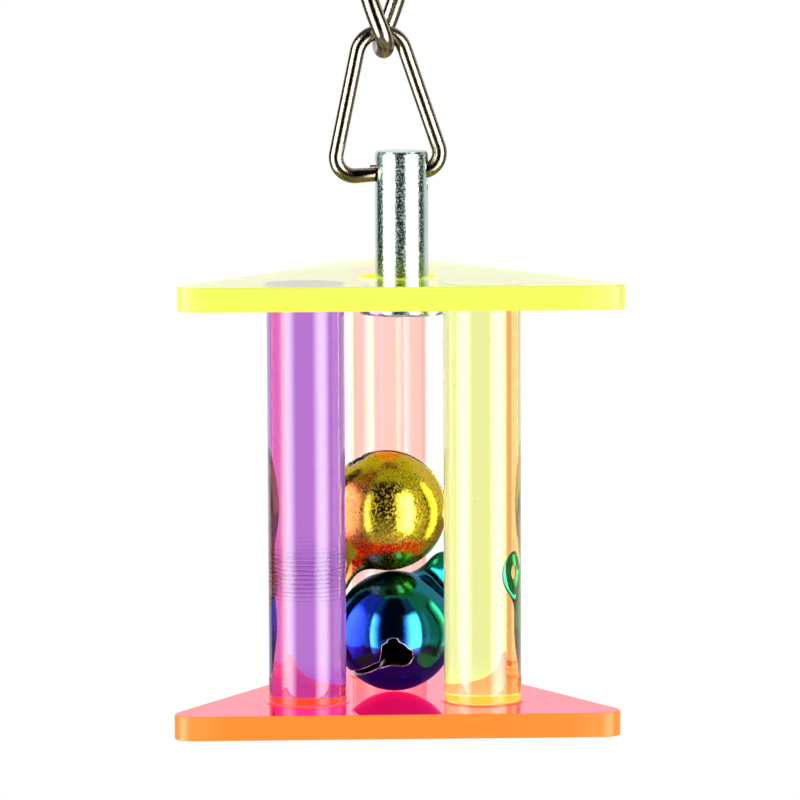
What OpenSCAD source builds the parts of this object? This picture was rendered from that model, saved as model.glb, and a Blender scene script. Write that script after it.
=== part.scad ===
// Hanging bird toy: two bells loose in a cage of acrylic rods between triangular plates.
// The cage turns on a headed pin, the pin hangs on a wire triangle, and the triangle on
// a twisted chain with a screw-sleeve link at the top. All sizes are in millimetres.

/* [Plates] */
// Side of each triangular plate, to its sharp corners
plate_side = 57.7; // [52:0.1:66]
// Radius of the plate's corners
plate_corner_r = 2.6; // [1:0.1:5]
// Thickness of the acrylic sheet
plate_t = 3; // [2:0.1:5]
// Bore in the top plate, oversize for the pin
plate_hole_d = 9.7; // [9.4:0.05:10]

/* [Rods] */
// Diameter of the acrylic rods
rod_d = 9.525; // [8:0.005:9.8]
// Clear height between the plates
cage_h = 48.9; // [42:0.1:80]
// Distance between the axes of the two front rods
front_rod_pitch = 21.6; // [21.4:0.1:24]
// Free room round a bell that stands midway between the three rods
bell_room = 0.585; // [0.3:0.005:2]
// Distance from the plate's middle forward to the front rods' row
front_rod_y = 6.23; // [5:0.01:7]
// Thickness of the cement film at each rod end
cement_t = 0.1; // [0.05:0.01:0.3]
// How far the cement squeezes out round a rod
cement_lip = 0.5; // [0.1:0.05:1]

/* [Hanger pin] */
// Diameter of the pin's shank
pin_d = 6.6; // [5.6:0.05:7]
// Diameter of the flange under the plate
pin_flange_d = 10.6; // [10.3:0.1:14]
// Thickness of the flange
pin_flange_t = 1.5; // [0.8:0.1:3]
// Height of the shank above the plate
pin_rise = 15.6; // [12:0.1:24]
// Cross hole for the wire link
pin_eye_d = 3; // [2.9:0.05:3.6]
// Depth of the cross hole's axis below the pin's top
pin_eye_drop = 2.75; // [2.4:0.05:4]
// Chamfer round the pin's ends
pin_chamfer = 0.2; // [0.1:0.05:0.4]

/* [Triangle link] */
// Diameter of the link's wire
tri_wire_d = 1.86; // [1.5:0.02:1.96]
// Angle of each leg from the link's middle line
tri_half_angle = 15.35; // [14.8:0.05:18]
// Bend radius of the wire at the top
tri_apex_r = 3.03; // [2.7:0.01:3.4]
// Bend radius of the wire at the two lower corners
tri_corner_r = 2.5; // [1.8:0.05:2.6]
// Distance from the top bend's centre down to the bar
tri_drop = 14.44; // [14.2:0.02:18]
// Gap where the wire's two ends meet in the bar
tri_butt_gap = 0.1; // [0.05:0.01:0.3]
// Distance from the pin's side to that gap
tri_butt_out = 0.45; // [0.3:0.05:1]

/* [Chain] */
// Diameter of the chain's wire
chain_wire_d = 2.2; // [1.6:0.05:2.3]
// Inside length of a chain link
chain_inner_l = 9; // [8:0.1:14]
// Inside width of a chain link
chain_inner_w = 3.4; // [3.3:0.05:4.2]
// Twist of a link from end to end
chain_twist = 90; // [70:1:110]

/* [Quick link] */
// Diameter of the link's wire
quick_wire_d = 2.3; // [2:0.1:2.4]
// Inside length of the link
quick_inner_l = 24; // [23:0.1:34]
// Inside width of the link
quick_inner_w = 7; // [5.5:0.1:9]
// Gap in the link's side that the sleeve closes
quick_gap = 4.8; // [3:0.1:5]
// Length of the sleeve
sleeve_l = 6.4; // [6:0.1:7]
// Width of the sleeve across its flats
sleeve_w = 4.4; // [4:0.1:5]

/* [Bells] */
// Outside diameter of each bell
bell_d = 15; // [13:0.05:17]
// Thickness of the bells' metal
bell_wall = 0.35; // [0.25:0.05:0.6]
// Width of the slit across a bell's mouth
slit_w = 0.85; // [0.4:0.05:1.2]
// Diameter of the hole at each end of the slit
slit_hole_d = 3.7; // [2:0.1:3.8]
// Angle from the mouth's middle to each of those holes
slit_half_angle = 60; // [50:1:70]
// Height of the pinched loop above the bell
loop_h = 5.4; // [4.6:0.1:5.8]
// Width of the loop
loop_w = 5.8; // [4.6:0.1:6.4]
// Thickness of the pinched loop
loop_t = 1.4; // [1:0.1:1.6]
// Radius of the hollow where the pinched sides grow out of the shell
loop_hollow_r = 1.8; // [1.2:0.1:2.2]
// Radius of the flare at the loop's two edges
loop_flare_r = 1; // [0.5:0.1:1.4]
// Eye through the loop
loop_eye_d = 1.8; // [1:0.1:2.2]
// Depth of the eye's axis below the loop's top
loop_eye_drop = 2.6; // [2:0.1:3]
// Diameter of the loose ball inside a bell
pea_d = 4; // [3.9:0.1:5]

/* [Fits] */
// Gap between pieces that rest or hang on each other
seat_gap = 0.12; // [0.08:0.01:0.2]
// Running clearance of the sleeve on the wire
sleeve_gap = 0.08; // [0.04:0.01:0.15]

/* [Hidden] */
$fn = 64;
eps = 0.01;

// How the toy hangs: lean of the triangle link, and where the pin sits along its bar
tri_lean = 3.58;
pin_along_bar = 1.54;
// Spot of the rods' frame under the pin, and of the hand-glued top plate on the rods
cage_shift = [-1.26, -0.45];
top_plate_shift = [0.8, 1.7];
top_plate_turn = -0.45;
// Turn of the chain's lowest bend about the vertical, and how far round from the top of the
// triangle's bend it bears
chain_turn = 12;
chain_slip = 17.2;

// Quick link, with its inside top at the origin, square to the chain's top bend
quick_bend_r = (quick_inner_w + quick_wire_d) / 2;
quick_top_z = quick_wire_d / 2 - quick_bend_r;
quick_low_z = -quick_inner_l - quick_wire_d / 2 + quick_bend_r;
quick_wire_low_z = quick_low_z - quick_bend_r;
sleeve_lap = (sleeve_l - quick_gap) / 2;
sleeve_mid_z = quick_low_z + sleeve_l / 2 + sleeve_lap;

// Chain, counted upwards from the triangle link
chain_span = chain_inner_l + chain_wire_d;
chain_half_w = (chain_inner_w + chain_wire_d) / 2;
chain_pitch = chain_span - chain_wire_d - seat_gap;
chain_3_top_z = quick_wire_low_z + (quick_wire_d + chain_wire_d) / 2 + seat_gap;
chain_3_low_z = chain_3_top_z - chain_span;
chain_2_low_z = chain_3_low_z - chain_pitch;
chain_1_low_z = chain_2_low_z - chain_pitch;
// Straight wires are a hair thinner than the bends and lap into them
wire_lap = 0.1;
wire_step = 0.01;
chain_sides = 10;
chain_bend_steps = 10;
chain_leg_steps = 8;

// Triangle link, with its top bend over the chain's lowest bend
tri_hang_r = tri_apex_r - (chain_wire_d + tri_wire_d) / 2 - seat_gap;
tri_apex_x = -tri_hang_r * sin(chain_slip);
tri_apex_z = chain_1_low_z - tri_hang_r * cos(chain_slip);
tri_corner_x = (tri_apex_r - tri_corner_r + (tri_drop - tri_corner_r) * sin(tri_half_angle))
    / cos(tri_half_angle);
tri_corner_y = tri_corner_r - tri_drop;
bar_x = tri_apex_x + pin_along_bar * cos(tri_lean) + tri_drop * sin(tri_lean);
bar_z = tri_apex_z + pin_along_bar * sin(tri_lean) - tri_drop * cos(tri_lean);
// The wire's ends meet just outside the pin
butt_x = pin_along_bar - pin_d / 2 - tri_butt_out;

// Pin, hung on the bar by its cross hole; heights from here down are whole hundredths,
// so that stacked faces meet exactly
pin_x = bar_x;
pin_y = 0;
pin_top_z = round((bar_z + pin_eye_drop) * 100) / 100;
plate_top_z = pin_top_z - pin_rise;
cage_top_z = plate_top_z - plate_t;
cage_low_z = cage_top_z - cage_h;
flange_top_z = cage_top_z - seat_gap;

// Rods, in the cage's own frame, on a ring that leaves the bells their room
cage_x = pin_x + cage_shift[0];
cage_y = pin_y + cage_shift[1];
rod_len = cage_h - 2 * cement_t;
bell_r = bell_d / 2;
ring_r = bell_r + bell_room + rod_d / 2;
back_rod_reach = ring_r + sqrt(pow(ring_r, 2) - pow(front_rod_pitch / 2, 2));
purple_at = [-front_rod_pitch / 2, -front_rod_y];
yellow_at = [front_rod_pitch / 2, -front_rod_y];
pink_at = [0, back_rod_reach - front_rod_y];
rods_at = [purple_at, yellow_at, pink_at];

// Where each bell has rolled to between the rods, as a share of its play and a bearing
gold_roll = [1.95, 150];
blue_roll = [0.5, 30];
ring_y = back_rod_reach - ring_r - front_rod_y;
bell_in_r = bell_r - bell_wall;
bell_play = bell_room - seat_gap;
function rolled_to(roll) = [0, ring_y] + roll[0] * bell_play * [cos(roll[1]), sin(roll[1])];
gold_xy = rolled_to(gold_roll);
blue_xy = rolled_to(blue_roll);
blue_z = cage_low_z + bell_r + seat_gap;
bells_apart = norm(gold_xy - blue_xy);
gold_z = blue_z + sqrt(pow(bell_d + seat_gap, 2) - pow(bells_apart, 2));
// Lie of each bell: lean of its loop from upright, its bearing, and turn of its slit
gold_lie = [149.3, 168.7, 172];
blue_lie = [49.5, 29.2, -100];
bell_seam = 0.04;
pea_drop = bell_in_r - pea_d / 2 - seat_gap;

yellow_sheet = [0.95, 0.98, 0.45];
pink_sheet = [1, 0.6, 0.55];
purple_acrylic = [0.72, 0.45, 0.86];
yellow_acrylic = [0.94, 0.96, 0.6];
pink_acrylic = [0.99, 0.76, 0.75];
cement_grey = [0.6, 0.5, 0.5];
zinc = [0.75, 0.78, 0.78];
nickel = [0.72, 0.69, 0.63];
steel = [0.55, 0.56, 0.58];
gold = [0.9, 0.72, 0.15];
blue = [0.1, 0.3, 0.75];

// Point on a twisted link: across the link, up from its lowest bend's wire
function twist_at(w) = chain_turn - chain_twist * w / chain_span;
function twisted(u, w) = [-u * sin(twist_at(w)), u * cos(twist_at(w)), w];
function bend_point(centre_w, a) =
    [chain_half_w * cos(a), centre_w + chain_half_w * sin(a)];
function unit(v) = v / norm(v);

// Flat centre line of a link, as [across, up, angle of the outward normal]
chain_low_w = chain_half_w;
chain_high_w = chain_span - chain_half_w;
chain_path = concat(
    [for (i = [0 : chain_bend_steps])
        let (a = 180 + 180 * i / chain_bend_steps) concat(bend_point(chain_low_w, a), a)],
    [for (i = [1 : chain_leg_steps - 1])
        [chain_half_w, chain_low_w + (chain_high_w - chain_low_w) * i / chain_leg_steps, 0]],
    [for (i = [0 : chain_bend_steps])
        let (a = 180 * i / chain_bend_steps) concat(bend_point(chain_high_w, a), a)],
    [for (i = [1 : chain_leg_steps - 1])
        [-chain_half_w, chain_high_w - (chain_high_w - chain_low_w) * i / chain_leg_steps, 180]]
);
chain_rings = len(chain_path);

// Ring of wire surface points round one point of the centre line
function ring_points(i) =
    let (
        here = chain_path[i],
        ahead = chain_path[(i + 1) % chain_rings],
        behind = chain_path[(i + chain_rings - 1) % chain_rings],
        along = unit(twisted(ahead[0], ahead[1]) - twisted(behind[0], behind[1])),
        outward = twisted(cos(here[2]), here[1]) - [0, 0, here[1] - sin(here[2])],
        side = unit(cross(along, outward)),
        top = cross(side, along)
    )
    [for (k = [0 : chain_sides - 1])
        let (a = 360 * k / chain_sides)
        twisted(here[0], here[1]) + chain_wire_d / 2 * (top * cos(a) + side * sin(a))];

// One link of twisted chain, standing on its lowest bend's wire
module twisted_link() {
    points = [for (i = [0 : chain_rings - 1]) each ring_points(i)];
    faces = [
        for (i = [0 : chain_rings - 1], k = [0 : chain_sides - 1])
            let (j = (i + 1) % chain_rings, m = (k + 1) % chain_sides)
            [i * chain_sides + k, i * chain_sides + m, j * chain_sides + m, j * chain_sides + k]
    ];
    polyhedron(points, faces);
}

// Bend of round wire in the XY plane, from one angle to another
module wire_bend(bend_r, wire_d, from, to)
    rotate([0, 0, from]) rotate_extrude(angle = to - from) translate([bend_r, 0]) circle(d = wire_d);

// Straight wire in the XY plane, from a start point on a bearing
module wire_bar(start, bearing, length, wire_d)
    translate([start[0], start[1], 0]) rotate([0, 0, bearing]) rotate([0, 90, 0])
        translate([0, 0, -wire_lap])
            cylinder(d = wire_d - 2 * wire_step, h = length + 2 * wire_lap);

// Sheet with the plate's outline: a triangle with rounded corners
module plate_sheet() {
    inner_r = plate_side / sqrt(3) - 2 * plate_corner_r;
    linear_extrude(plate_t)
        offset(r = plate_corner_r)
            polygon([for (a = [90, 210, 330]) inner_r * [cos(a), sin(a)]]);
}

module at_cage() translate([cage_x, cage_y, 0]) children();

module top_plate()
    color(yellow_sheet)
        at_cage() translate([top_plate_shift[0], top_plate_shift[1], cage_top_z])
            rotate(top_plate_turn)
                difference() {
                    plate_sheet();
                    translate([0, 0, -eps]) cylinder(d = plate_hole_d, h = plate_t + 2 * eps);
                }

module bottom_plate()
    color(pink_sheet) at_cage() translate([0, 0, cage_low_z - plate_t]) plate_sheet();

module rod(at, tint)
    color(tint) at_cage() translate([at[0], at[1], cage_low_z + cement_t]) cylinder(d = rod_d, h = rod_len);

module purple_rod() rod(purple_at, purple_acrylic);
module yellow_rod() rod(yellow_at, yellow_acrylic);
module pink_rod() rod(pink_at, pink_acrylic);

// Films of solvent cement, one at the end of each rod
module cement_films(z)
    color(cement_grey)
        at_cage()
            for (at = rods_at)
                translate([at[0], at[1], z]) cylinder(d = rod_d + 2 * cement_lip, h = cement_t);

module top_cement() cement_films(cage_top_z - cement_t);
module bottom_cement() cement_films(cage_low_z);

// Headed pin, turned from bar, with a cross hole for the wire
module hanger_pin() {
    flange_low_z = flange_top_z - pin_flange_t;
    shank_r = pin_d / 2;
    flange_r = pin_flange_d / 2;
    color(zinc)
        translate([pin_x, pin_y, 0])
            difference() {
                rotate_extrude()
                    polygon([
                        [0, flange_low_z],
                        [flange_r - pin_chamfer, flange_low_z],
                        [flange_r, flange_low_z + pin_chamfer],
                        [flange_r, flange_top_z],
                        [shank_r, flange_top_z],
                        [shank_r, pin_top_z - pin_chamfer],
                        [shank_r - pin_chamfer, pin_top_z],
                        [0, pin_top_z]
                    ]);
                translate([-pin_d, 0, bar_z]) rotate([0, 90, 0]) cylinder(d = pin_eye_d, h = 2 * pin_d);
            }
}

// Wire triangle, bent from one length whose ends meet in the bar
module triangle_link() {
    leg_l = (tri_drop - tri_corner_r) / cos(tri_half_angle)
        + (tri_apex_r - tri_corner_r) * tan(tri_half_angle);
    apex_from = tri_half_angle;
    apex_to = 180 - tri_half_angle;
    right_top = tri_apex_r * [cos(tri_half_angle), sin(tri_half_angle)];
    left_top = [-right_top[0], right_top[1]];
    color(nickel)
        translate([tri_apex_x, 0, tri_apex_z]) rotate([0, -tri_lean, 0]) rotate([90, 0, 0])
            difference() {
                union() {
                    wire_bend(tri_apex_r, tri_wire_d, apex_from, apex_to);
                    wire_bar(right_top, tri_half_angle - 90, leg_l, tri_wire_d);
                    wire_bar(left_top, -tri_half_angle - 90, leg_l, tri_wire_d);
                    translate([tri_corner_x, tri_corner_y, 0])
                        wire_bend(tri_corner_r, tri_wire_d, -90, tri_half_angle);
                    translate([-tri_corner_x, tri_corner_y, 0])
                        wire_bend(tri_corner_r, tri_wire_d, 180 - tri_half_angle, 270);
                    wire_bar([-tri_corner_x, -tri_drop], 0, 2 * tri_corner_x, tri_wire_d);
                }
                translate([butt_x, -tri_drop, 0])
                    cube([tri_butt_gap, 2 * tri_wire_d, 2 * tri_wire_d], center = true);
            }
}

module chain_link(low_z) color(nickel) translate([0, 0, low_z]) twisted_link();

module chain_link_1() chain_link(chain_1_low_z);
module chain_link_2() chain_link(chain_2_low_z);
module chain_link_3() chain_link(chain_3_low_z);

// Long link of round wire, open on one side where the sleeve screws across
module quick_link()
    color(steel)
        rotate([0, 0, chain_turn]) rotate([90, 0, 90])
            difference() {
                union() {
                    translate([0, quick_top_z, 0]) wire_bend(quick_bend_r, quick_wire_d, 0, 180);
                    translate([0, quick_low_z, 0]) wire_bend(quick_bend_r, quick_wire_d, 180, 360);
                    for (side = [-1, 1])
                        wire_bar([side * quick_bend_r, quick_low_z], 90, quick_top_z - quick_low_z, quick_wire_d);
                }
                translate([quick_bend_r, sleeve_mid_z, 0])
                    cube([2 * quick_wire_d, quick_gap, 2 * quick_wire_d], center = true);
            }

module quick_link_sleeve()
    color(steel)
        rotate([0, 0, chain_turn]) translate([0, quick_bend_r, sleeve_mid_z - sleeve_l / 2])
            difference() {
                cylinder(d = sleeve_w / cos(30), h = sleeve_l, $fn = 6);
                translate([0, 0, -eps]) cylinder(d = quick_wire_d + 2 * sleeve_gap, h = sleeve_l + 2 * eps);
            }

module at_bell(xy, z) at_cage() translate([xy[0], xy[1], z]) children();
module lie(angles) rotate([0, angles[0], angles[1]]) rotate([0, 0, angles[2]]) children();

// Half shell of a bell, on its loop's side
module half_shell()
    difference() {
        sphere(r = bell_r);
        sphere(r = bell_in_r);
        translate([-bell_d, -bell_d, -2 * bell_d + bell_seam / 2]) cube(2 * bell_d);
    }

// Web between an upright wall at x = 0 and a floor, hollowed to the given radius
module hollow_corner(r, depth)
    difference() {
        translate([-eps, -depth]) square([r + eps, r + depth]);
        translate([r, r]) circle(r = r);
    }

// Loop pinched up out of the shell: a flat ear with an eye, flared where it meets the bell
module pinched_loop() {
    end_r = loop_w / 2;
    end_z = bell_r + loop_h - end_r;
    eye_z = bell_r + loop_h - loop_eye_drop;
    flare_x = loop_w / 2;
    flare_z = sqrt(pow(bell_r, 2) - pow(flare_x + loop_flare_r, 2));
    hollow_x = loop_t / 2;
    hollow_z = sqrt(pow(bell_r, 2) - pow(hollow_x + loop_hollow_r, 2));
    difference() {
        union() {
            rotate([90, 0, 90])
                linear_extrude(loop_t, center = true) {
                    translate([0, end_z]) circle(r = end_r);
                    translate([-end_r, 0]) square([loop_w, end_z]);
                    for (side = [0, 1])
                        mirror([side, 0]) translate([flare_x, flare_z]) hollow_corner(loop_flare_r, bell_wall);
                }
            rotate_extrude() {
                translate([hollow_x, hollow_z]) hollow_corner(loop_hollow_r, bell_wall);
                translate([0, hollow_z - bell_wall]) square([hollow_x, loop_hollow_r + bell_wall]);
            }
        }
        translate([-loop_w, 0, eye_z]) rotate([0, 90, 0]) cylinder(d = loop_eye_d, h = 2 * loop_w);
        sphere(r = bell_r - bell_wall / 2);
    }
}

module bell_dome(tint)
    color(tint)
        union() {
            half_shell();
            pinched_loop();
        }

// Mouth half of a bell: a slit over its pole with a round hole at each end
module bell_cup(tint)
    color(tint)
        difference() {
            mirror([0, 0, 1]) half_shell();
            translate([-bell_r, -slit_w / 2, -bell_d])
                cube([bell_d, slit_w, bell_d - bell_r * cos(slit_half_angle)]);
            for (s = [-1, 1])
                rotate([0, 180 + s * slit_half_angle, 0]) cylinder(d = slit_hole_d, h = bell_d);
        }

module bell_pea(tint) color(tint) translate([0, 0, -pea_drop]) sphere(d = pea_d);

module gold_bell_dome() at_bell(gold_xy, gold_z) lie(gold_lie) bell_dome(gold);
module gold_bell_cup() at_bell(gold_xy, gold_z) lie(gold_lie) bell_cup(gold);
module gold_bell_pea() at_bell(gold_xy, gold_z) bell_pea(steel);
module blue_bell_dome() at_bell(blue_xy, blue_z) lie(blue_lie) bell_dome(blue);
module blue_bell_cup() at_bell(blue_xy, blue_z) lie(blue_lie) bell_cup(blue);
module blue_bell_pea() at_bell(blue_xy, blue_z) bell_pea(steel);

top_plate();
bottom_plate();
purple_rod();
yellow_rod();
pink_rod();
top_cement();
bottom_cement();
hanger_pin();
triangle_link();
chain_link_1();
chain_link_2();
chain_link_3();
quick_link();
quick_link_sleeve();
gold_bell_dome();
gold_bell_cup();
gold_bell_pea();
blue_bell_dome();
blue_bell_cup();
blue_bell_pea();
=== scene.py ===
import math

import bmesh
import bpy
from mathutils import Matrix, Vector, noise


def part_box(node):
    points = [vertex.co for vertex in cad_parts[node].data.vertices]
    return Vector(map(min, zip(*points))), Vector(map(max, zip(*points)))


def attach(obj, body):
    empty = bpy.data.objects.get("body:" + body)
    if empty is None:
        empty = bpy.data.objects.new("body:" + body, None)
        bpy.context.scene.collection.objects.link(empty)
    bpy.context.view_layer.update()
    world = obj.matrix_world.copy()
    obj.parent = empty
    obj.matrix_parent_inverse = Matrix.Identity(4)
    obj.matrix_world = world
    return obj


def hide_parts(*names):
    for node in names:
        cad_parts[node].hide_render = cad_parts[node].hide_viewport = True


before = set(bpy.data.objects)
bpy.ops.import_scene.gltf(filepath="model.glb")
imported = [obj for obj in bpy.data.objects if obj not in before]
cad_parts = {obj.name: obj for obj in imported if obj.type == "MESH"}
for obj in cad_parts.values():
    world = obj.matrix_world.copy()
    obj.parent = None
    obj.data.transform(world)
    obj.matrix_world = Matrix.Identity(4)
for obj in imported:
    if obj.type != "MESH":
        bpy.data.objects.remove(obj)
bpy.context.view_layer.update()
scene = bpy.context.scene
mm = 0.001
tiny = 1e-7  # metres: points closer than this are one point
print("frame loaded:", len(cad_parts), "nodes")


def nodeBox(node):
    low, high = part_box(node)
    return low / mm, high / mm


def boxMiddle(node):
    low, high = nodeBox(node)
    return (low + high) / 2


def spinTurn(degrees, axis="Z"):
    return Matrix.Rotation(math.radians(degrees), 4, axis)


# where the toy hangs, in millimetres under the hang point
hang = {
    "rodRow": 6.23,  # the cage's middle lies this far behind the row of front rods
    "chainTurn": 12.0,
    "cageTop": nodeBox("top_plate")[0].z,
    "cageLow": nodeBox("bottom_plate")[1].z,
    "pinTop": nodeBox("hanger_pin")[1].z,
}
frontRods = (boxMiddle("purple_rod") + boxMiddle("yellow_rod")) / 2
hang["cage"] = Vector((frontRods.x, frontRods.y + hang["rodRow"], 0))
hang["pinAxis"] = boxMiddle("hanger_pin") * Vector((1, 1, 0))


def grey(value):
    return (value, value, value)


def times(colour, share):
    return tuple(c * share for c in colour)


def opaque(colour):
    return (*colour, 1.0)


def setInputs(node, values):
    for key, value in values.items():
        node.inputs[key].default_value = value


def addNode(tree, kind, values=None, **settings):
    node = tree.nodes.new(kind)
    for key, value in settings.items():
        setattr(node, key, value)
    setInputs(node, values or {})
    return node


def newFinish(name, values=None):
    finish = bpy.data.materials.new(name)
    finish.use_nodes = True
    tree = finish.node_tree
    shader = tree.nodes["Principled BSDF"]
    setInputs(shader, values or {})
    return finish, tree, shader


def objectCoords(tree, scale=(1.0, 1.0, 1.0), shift=(0.0, 0.0, 0.0)):
    coords = addNode(tree, "ShaderNodeTexCoord")
    place = addNode(tree, "ShaderNodeMapping", {"Scale": scale, "Location": shift})
    tree.links.new(coords.outputs["Object"], place.inputs["Vector"])
    return place.outputs["Vector"]


def splitAxes(tree, vector):
    split = addNode(tree, "ShaderNodeSeparateXYZ")
    tree.links.new(vector, split.inputs["Vector"])
    return split.outputs


def lengthOf(tree, vector):
    node = addNode(tree, "ShaderNodeVectorMath", operation="LENGTH")
    tree.links.new(vector, node.inputs[0])
    return node.outputs["Value"]


def mathNode(tree, operation, *sources):
    # each source is another node's output or a plain number
    node = addNode(tree, "ShaderNodeMath", operation=operation)
    for socket, source in zip(node.inputs, sources):
        if isinstance(source, float):
            socket.default_value = source
        else:
            tree.links.new(source, socket)
    return node.outputs["Value"]


def multiply(tree, first, second):
    return mathNode(tree, "MULTIPLY", first, second)


def larger(tree, first, second):
    return mathNode(tree, "MAXIMUM", first, second)


def mapRange(tree, source, low, high, first=0.0, last=1.0, interpolation="LINEAR"):
    values = {"From Min": low, "From Max": high, "To Min": first, "To Max": last}
    node = addNode(tree, "ShaderNodeMapRange", values, interpolation_type=interpolation)
    tree.links.new(source, node.inputs["Value"])
    return node.outputs["Result"]


def ramp(tree, source, stops):
    node = addNode(tree, "ShaderNodeValToRGB")
    elements = node.color_ramp.elements
    while len(elements) < len(stops):
        elements.new(0.5)
    for element, (place, colour) in zip(elements, stops):
        element.position = place
        element.color = opaque(colour)
    tree.links.new(source, node.inputs["Fac"])
    return node.outputs["Color"]


def heightRamp(tree, low, high, stops):
    # low and high are millimetres above the bottom plate
    up = splitAxes(tree, objectCoords(tree))["Z"]
    rise = mapRange(tree, up, (hang["cageLow"] + low) * mm, (hang["cageLow"] + high) * mm)
    return ramp(tree, rise, stops)


mixFirst, mixSecond, mixResult = 6, 7, 2  # the Mix node's colour sockets


def tinted(tree, first, second):
    # one colour times another, which may be plain
    mix = addNode(tree, "ShaderNodeMix", {"Factor": 1.0}, data_type="RGBA", blend_type="MULTIPLY")
    tree.links.new(first, mix.inputs[mixFirst])
    if isinstance(second, tuple):
        mix.inputs[mixSecond].default_value = opaque(second)
    else:
        tree.links.new(second, mix.inputs[mixSecond])
    return mix.outputs[mixResult]


def noiseField(tree, size, detail=3.0, roughness=0.6):
    # size is the width of one grain in millimetres
    values = {"Scale": 1 / (size * mm), "Detail": detail, "Roughness": roughness}
    field = addNode(tree, "ShaderNodeTexNoise", values)
    tree.links.new(objectCoords(tree), field.inputs["Vector"])
    return field.outputs["Fac"]


def addBump(tree, shader, height, strength, depth):
    bump = addNode(tree, "ShaderNodeBump", {"Strength": strength, "Distance": depth * mm})
    tree.links.new(height, bump.inputs["Height"])
    tree.links.new(bump.outputs["Normal"], shader.inputs["Normal"])


speckFade = 1.6  # a dot is gone at this many times its radius


def speckled(tree, colour, speck):
    # a few dark dots where a cell's middle comes close to the surface
    cells = addNode(tree, "ShaderNodeTexVoronoi", {"Scale": 1 / (speck["apart"] * mm)})
    tree.links.new(objectCoords(tree), cells.inputs["Vector"])
    edge = speck["radius"] / speck["apart"]
    stops = [(edge, times(colour, speck["dark"])), (edge * speckFade, colour)]
    return ramp(tree, cells.outputs["Distance"], stops)


acrylic = {
    "ior": 1.49,
    "roughness": 0.003,
    "speck": {"apart": 2.4, "radius": 0.07, "dark": 0.3},
}
scuffs = {
    "low": 12.2,  # rubbed rings on the purple rod, from here above the bottom plate
    "high": 21.0,
    "fade": [(0.0, 0.0), (0.22, 0.9), (0.55, 1.0), (0.75, 0.5), (1.0, 0.0)],
    "pitch": 0.54,
    "wander": 0.7,
    "line": (0.62, 0.92),  # the top of each wave shows as a line
    "patch": 1.6,
    "patchWeak": 0.5,
    "dark": (0.26, 0.14, 0.34),
    "bump": 0.5,
    "depth": 0.03,
}
rodFoot = {
    "reach": 5.0,  # painted light from the pink sheet below colours the rods' feet up to here
    "amber": (0.06, 0.09, 0.0),
    "amberTo": 0.3,  # share of the reach before it fades
    "magenta": (1.0, 0.4, 0.95),
    "magentaTo": 0.4,
}


def scuffRings(tree):
    # thin wavy lines round the rod that fade in and out over one band of height
    wave = addNode(tree, "ShaderNodeTexWave", wave_type="BANDS", bands_direction="Z", values={
        "Scale": 2 * math.pi / (20 * scuffs["pitch"] * mm),  # the node counts 20 radians to a unit
        "Distortion": scuffs["wander"],
        "Detail": 2.0,
        "Detail Scale": 1.3,
    })
    tree.links.new(objectCoords(tree), wave.inputs["Vector"])
    line = mapRange(tree, wave.outputs["Fac"], *scuffs["line"])
    fade = heightRamp(tree, scuffs["low"], scuffs["high"], [(at, grey(v)) for at, v in scuffs["fade"]])
    patchStops = [(0.32, grey(scuffs["patchWeak"])), (0.55, grey(1))]
    patchy = ramp(tree, noiseField(tree, scuffs["patch"]), patchStops)
    return multiply(tree, multiply(tree, line, fade), patchy)


def acrylicFinish(name, tint, glow=None, scuffed=False, gloss=1.0, footGlow=None, footLightTint=None):
    finish, tree, shader = newFinish(name, {
        "Transmission Weight": 1.0,
        "IOR": acrylic["ior"],
        "Roughness": acrylic["roughness"],
        "Specular Tint": opaque(grey(gloss)),
    })
    if glow:  # painted glow, in place of the fluorescent dye's light
        setInputs(shader, {"Emission Color": opaque(glow), "Emission Strength": 1.0})
    # painted light: an amber glow at the foot, for light piped up from the pink sheet
    if footGlow:
        stops = [(0.0, footGlow), (rodFoot["amberTo"], footGlow), (1.0, grey(0))]
        tree.links.new(heightRamp(tree, 0, rodFoot["reach"], stops), shader.inputs["Emission Color"])
        setInputs(shader, {"Emission Strength": 1.0})
    colour = speckled(tree, tint, acrylic["speck"])
    # painted light: the foot turns magenta, for light piped up from the pink sheet
    if footLightTint:
        stops = [(0.0, footLightTint), (rodFoot["magentaTo"], footLightTint), (1.0, grey(1))]
        colour = tinted(tree, colour, heightRamp(tree, 0, rodFoot["reach"], stops))
    if scuffed:
        rings = scuffRings(tree)
        colour = tinted(tree, colour, ramp(tree, rings, [(0.0, grey(1)), (1.0, scuffs["dark"])]))
        addBump(tree, shader, rings, scuffs["bump"], scuffs["depth"])
    tree.links.new(colour, shader.inputs["Base Color"])
    return finish


rim = {
    "roughness": 0.28,
    "gloss": 0.3,
    "near": 17.0,  # millimetres out from the cage's middle
    "corner": 29.0,
    "deepTo": 0.8,  # share of the way to the corner before it pales
}


def rimFinish(name, deep, pale, glow):
    # light piped through the sheet leaves at its edges, paler towards the corners
    finish, tree, shader = newFinish(name, {
        "Roughness": rim["roughness"],
        "Specular IOR Level": rim["gloss"],
        "IOR": acrylic["ior"],
        "Emission Strength": glow,
    })
    out = lengthOf(tree, objectCoords(tree, (1, 1, 0), hang["cage"] * -mm))
    reach = mapRange(tree, out, rim["near"] * mm, rim["corner"] * mm)
    shade = ramp(tree, reach, [(0.0, deep), (rim["deepTo"], deep), (1.0, pale)])
    tree.links.new(shade, shader.inputs["Base Color"])
    tree.links.new(shade, shader.inputs["Emission Color"])
    return finish


# a flat finish; any glow given to it is painted light
def filmFinish(name, colour, glow):
    return newFinish(name, {
        "Base Color": opaque(colour),
        "Roughness": 0.4,
        "Specular IOR Level": 0.0,  # wetted, so it has no gloss of its own
        "Emission Color": opaque(colour),
        "Emission Strength": glow,
    })[0]


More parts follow.
